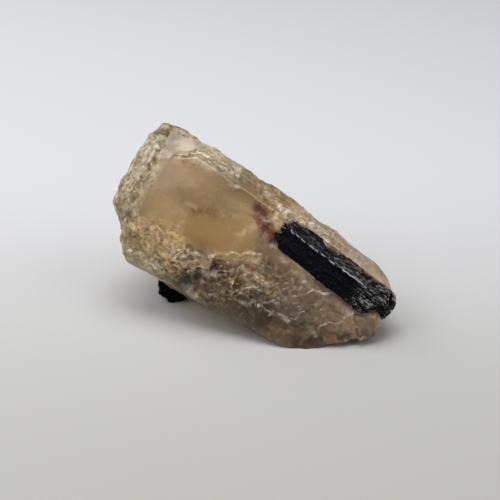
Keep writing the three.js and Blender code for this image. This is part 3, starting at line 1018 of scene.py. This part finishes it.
# %% Tourmaline rods
def standing_rod(name, rod, shape):
    """A fine six-sided rod at the origin, with one corner towards +Y."""
    before, after = shape["longer"]
    length = rod_length(rod) + before + after
    side = rod["side"] + shape["wider"]
    bpy.ops.object.select_all(action="DESELECT")
    bpy.ops.mesh.primitive_cylinder_add(vertices=6, radius=side * MM, depth=length * MM)
    piece = bpy.context.object
    piece.name = name
    bpy.ops.object.mode_set(mode="EDIT")
    bpy.ops.mesh.select_mode(type="EDGE")
    bpy.ops.mesh.select_all(action="DESELECT")
    bpy.ops.object.mode_set(mode="OBJECT")
    for edge in piece.data.edges:
        low, high = (piece.data.vertices[i].co.z for i in edge.vertices)
        edge.select = abs(high - low) > length * MM / 2
    bpy.ops.object.mode_set(mode="EDIT")
    bpy.ops.mesh.subdivide(number_cuts=shape["cuts"])
    bpy.ops.object.mode_set(mode="OBJECT")
    add_and_apply(piece, "SUBSURF", subdivision_type="SIMPLE", levels=ROD_LEVELS, render_levels=ROD_LEVELS)
    add_and_apply(piece, "NODES", node_group=make_rod_relief(name, length, side, shape))
    piece.location.z = (after - before) / 2 * MM
    select_only(piece)
    bpy.ops.object.transform_apply(location=True)
    return piece


rod_pieces = {}
for node, rod in RODS.items():
    piece = standing_rod(node + "_grooved", rod, ROD_SHAPES[node])
    lay_in_place(piece, rod)
    trim_at_floor(piece)
    rod_pieces[node] = piece
    print(piece.name, len(piece.data.polygons), "faces")

# %% [markdown]
# ## The finish of the tourmaline
#
# Black tourmaline is nearly all black, with fine grey specks. The long rod stands free: its uppermost corner
# has a broken silvery line, a painted highlight where the corner catches the light, and grey fibres show on
# its upper face and around its broken end, real splinters with a painted sheen. The far edge of that face
# has a rusty brown rim. Paint by hand would not follow the grooves, so noise is drawn out along the standing
# rod. The mark for wear and sheen is 1 on the long rod and 0 on the foot, which stays plain.

# %% Tourmaline finish
BLACK = (0.0028, 0.003, 0.005, 1)
SPECK_GREY = (0.03, 0.03, 0.036, 1)
# Painted highlight along the rod's uppermost corner.
CORNER_HIGHLIGHT = (0.38, 0.365, 0.35, 1)
RIM_BROWN = (0.10, 0.035, 0.018, 1)
# Grey of the fibres: partly splinters, partly a painted sheen.
FIBRE_GREY_AND_SHEEN = (0.27, 0.26, 0.245, 1)
LINE_WIDTH = 0.22
FIBRE_STRETCH = (1, 1, 0.12)
LINE_WANDER = {"scale": 0.35, "height": 2.0, "detail": 4.0}
LINE_NOISE = {"scale": 0.8, "detail": 4.0, "roughness": 0.7}
LINE_KEPT = (0.42, 0.54)
FIBRE_NOISE = {"scale": 2.8, "detail": 3.0, "roughness": 0.6}
FIBRE_EDGE = (0.49, 0.58)
UPPER_FACE = (-0.2, 0.6)  # millimetres beside the corner
# Where the fibres and their painted sheen lie: on the upper face and at the broken end.
UPPER_WEAR_AND_SHEEN = (-12.0, 8.0, 0.25, 0.7)  # along the rod, in millimetres from its middle
END_WEAR_AND_SHEEN = (5.0, 12.0)
PATCH_NOISE = {"scale": 1.3, "detail": 3.0}
PATCHES = (0.42, 0.58, 0.1, 1.0)
RIM_BESIDE = (3.2, 4.4)
RIM_MIDDLE = 7.0
RIM_REACH = (4.0, 6.0, 1.0, 0.0)
RIM_NOISE = {"scale": 0.9}
RIM_PATCHES = (0.45, 0.6)
SPECK_NOISE = {"scale": 3.2}
SPECKS = (0.58, 0.72)
SHEEN_NOISE = {"scale": 0.8, "detail": 4.0}
TOURMALINE_ROUGHNESS = (0.3, 0.7, 0.32, 0.55)
TOURMALINE_SHINE = 0.025
FIBRE_BUMP_NOISE = {"scale": 5.0, "detail": 3.0}
FIBRE_BUMP = 0.5
FIBRE_BUMP_HEIGHT = 0.15 * MM


def corner_highlight_line(tree, standing, across):
    """A painted highlight on the corner between the two upper faces, a thin broken line along the rod."""
    wander = calc(tree, "ADD", across, centred_noise(tree, standing, **LINE_WANDER))
    line = ramp(tree, calc(tree, "ABSOLUTE", wander), LINE_WIDTH / 4, LINE_WIDTH, 1.0, 0.0)
    kept = ramp(tree, noise(tree, standing, **LINE_NOISE), *LINE_KEPT)
    return calc(tree, "MULTIPLY", line, kept)


def grey_fibres_and_sheen(tree, standing, across, along):
    """Grey fibres on the upper face and all around the broken end: splinters, with a painted sheen."""
    drawn_out = vector_calc(tree, "MULTIPLY", standing, FIBRE_STRETCH)
    fibres = ramp(tree, noise(tree, drawn_out, **FIBRE_NOISE), *FIBRE_EDGE)
    upper = calc(tree, "MULTIPLY", ramp(tree, across, *UPPER_FACE), ramp(tree, along, *UPPER_WEAR_AND_SHEEN))
    wear_and_sheen = calc(tree, "MAXIMUM", upper, ramp(tree, along, *END_WEAR_AND_SHEEN))
    patchy = ramp(tree, noise(tree, standing, **PATCH_NOISE), *PATCHES)
    return calc(tree, "MULTIPLY", fibres, calc(tree, "MULTIPLY", wear_and_sheen, patchy))


def brown_rim(tree, point, across, along):
    """A rusty rim on one side, between the rod's middle and its broken end."""
    from_middle = calc(tree, "ABSOLUTE", calc(tree, "SUBTRACT", along, RIM_MIDDLE))
    rim = calc(tree, "MULTIPLY", ramp(tree, across, *RIM_BESIDE), ramp(tree, from_middle, *RIM_REACH))
    return calc(tree, "MULTIPLY", rim, ramp(tree, noise(tree, point, **RIM_NOISE), *RIM_PATCHES))


def tourmaline_colour(tree, point, standing):
    """Black with specks, and on the long rod its rusty rim, its fibres with painted sheen and its painted
    corner highlight.
    """
    axes = put(tree, "ShaderNodeSeparateXYZ", {0: standing})
    across, along = axes.outputs["X"], axes.outputs["Z"]
    colour = blend(tree, BLACK, SPECK_GREY, ramp(tree, noise(tree, point, **SPECK_NOISE), *SPECKS))
    wear_and_highlight = (
        (RIM_BROWN, brown_rim(tree, point, across, along)),
        (FIBRE_GREY_AND_SHEEN, grey_fibres_and_sheen(tree, standing, across, along)),
        (CORNER_HIGHLIGHT, corner_highlight_line(tree, standing, across)),
    )
    for tint, mask in wear_and_highlight:
        colour = blend(tree, colour, tint, calc(tree, "MULTIPLY", mask, mark(tree, "wear_and_sheen")))
    return colour


def make_tourmaline_finish():
    """Dull black stone with fine fibres along its length."""
    material, tree, surface, point = new_material("black tourmaline")
    standing = put(tree, "ShaderNodeAttribute", attribute_name="standing").outputs["Vector"]
    tree.links.new(tourmaline_colour(tree, point, standing), surface.inputs["Base Color"])
    gloss = ramp(tree, noise(tree, point, **SHEEN_NOISE), *TOURMALINE_ROUGHNESS)
    tree.links.new(gloss, surface.inputs["Roughness"])
    surface.inputs["Specular IOR Level"].default_value = TOURMALINE_SHINE
    drawn_out = vector_calc(tree, "MULTIPLY", standing, FIBRE_STRETCH)
    grain = noise(tree, drawn_out, **FIBRE_BUMP_NOISE)
    feeds = {"Height": grain, "Strength": FIBRE_BUMP, "Distance": FIBRE_BUMP_HEIGHT}
    tree.links.new(put(tree, "ShaderNodeBump", feeds).outputs[0], surface.inputs["Normal"])
    return material


tourmaline = make_tourmaline_finish()
for node, piece in rod_pieces.items():
    piece.data.materials.clear()
    piece.data.materials.append(tourmaline)
    select_only(piece)
    bpy.ops.object.shade_smooth_by_angle(angle=SHARP_STEP)
    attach(piece, "root")
    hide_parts(node)
    print(piece.name, "is finished in", tourmaline.name)

# %% [markdown]
# ## Floor
#
# The stone lies on a plain pale surface that runs out of view and gets a little darker towards the camera. A
# large plane is enough for it. The darkening is painted into its colour, a soft painted shade from front to
# back where the light falls off.

# %% Floor
FLOOR_SIZE = 6.0  # metres
FLOOR_ROUGHNESS = 0.6
FLOOR_FAR = (0.515, 0.52, 0.543, 1)
# The near colour is darker: a painted shade where the light falls off towards the camera.
FLOOR_NEAR = (0.345, 0.342, 0.325, 1)
FLOOR_FADE = (-90, 90)  # millimetres from the middle, towards the back

bpy.ops.object.select_all(action="DESELECT")
bpy.ops.mesh.primitive_plane_add(size=FLOOR_SIZE)
floor = bpy.context.object
floor.name = "floor"
floor_finish, floor_tree, floor_surface, floor_point = new_material("pale floor")
floor_far = put(floor_tree, "ShaderNodeSeparateXYZ", {0: floor_point}).outputs["Y"]
floor_colour = blend(floor_tree, FLOOR_NEAR, FLOOR_FAR, ramp(floor_tree, floor_far, *FLOOR_FADE))
floor_tree.links.new(floor_colour, floor_surface.inputs["Base Color"])
floor_surface.inputs["Roughness"].default_value = FLOOR_ROUGHNESS
floor.data.materials.append(floor_finish)
print("floor of", FLOOR_SIZE, "m")

# %% [markdown]
# ## Light
#
# The light of the photograph is soft and comes from above, so the shadow lies under the stone. One large
# softbox hangs overhead. Two more stand at the front corners, so that the front isn't dark and no glare
# falls on the smooth face, which a lamp beside the camera would give. One at the back left is like a
# window and edges the stone. The room itself adds a weak, even light. A softbox's places and size are in
# metres.

# %% Light
SOFTBOXES = {
    "overhead": {"place": (-0.02, 0.03, 0.6), "aim": (-0.02, 0.03, 0), "size": 0.42, "power": 3.1},
    "front left": {"place": (-0.42, -0.2, 0.5), "aim": (-0.01, 0, 0.02), "size": 0.36, "power": 1.5},
    "front right": {"place": (0.42, -0.16, 0.5), "aim": (0, 0, 0.02), "size": 0.36, "power": 1.0},
    "left window": {"place": (-0.42, 0.26, 0.34), "aim": (-0.01, 0, 0.02), "size": 0.4, "power": 1.3},
}
ROOM_COLOUR = (1.0, 0.985, 0.96, 1)
ROOM_STRENGTH = 0.23


def softbox(name, place, aim, size, power):
    """A square area light that faces a point."""
    turn = (Vector(aim) - Vector(place)).to_track_quat("-Z", "Y").to_euler()
    bpy.ops.object.light_add(type="AREA", location=place, rotation=turn)
    light = bpy.context.object
    light.name = name
    light.data.size = size
    light.data.energy = power
    print(name, "softbox of", power, "W")


for name, box in SOFTBOXES.items():
    softbox(name, **box)
world = bpy.data.worlds.new("room")
bpy.context.scene.world = world
world.use_nodes = True
room = world.node_tree.nodes["Background"].inputs
room["Color"].default_value = ROOM_COLOUR
room["Strength"].default_value = ROOM_STRENGTH
bpy.context.scene.view_settings.view_transform = "Standard"
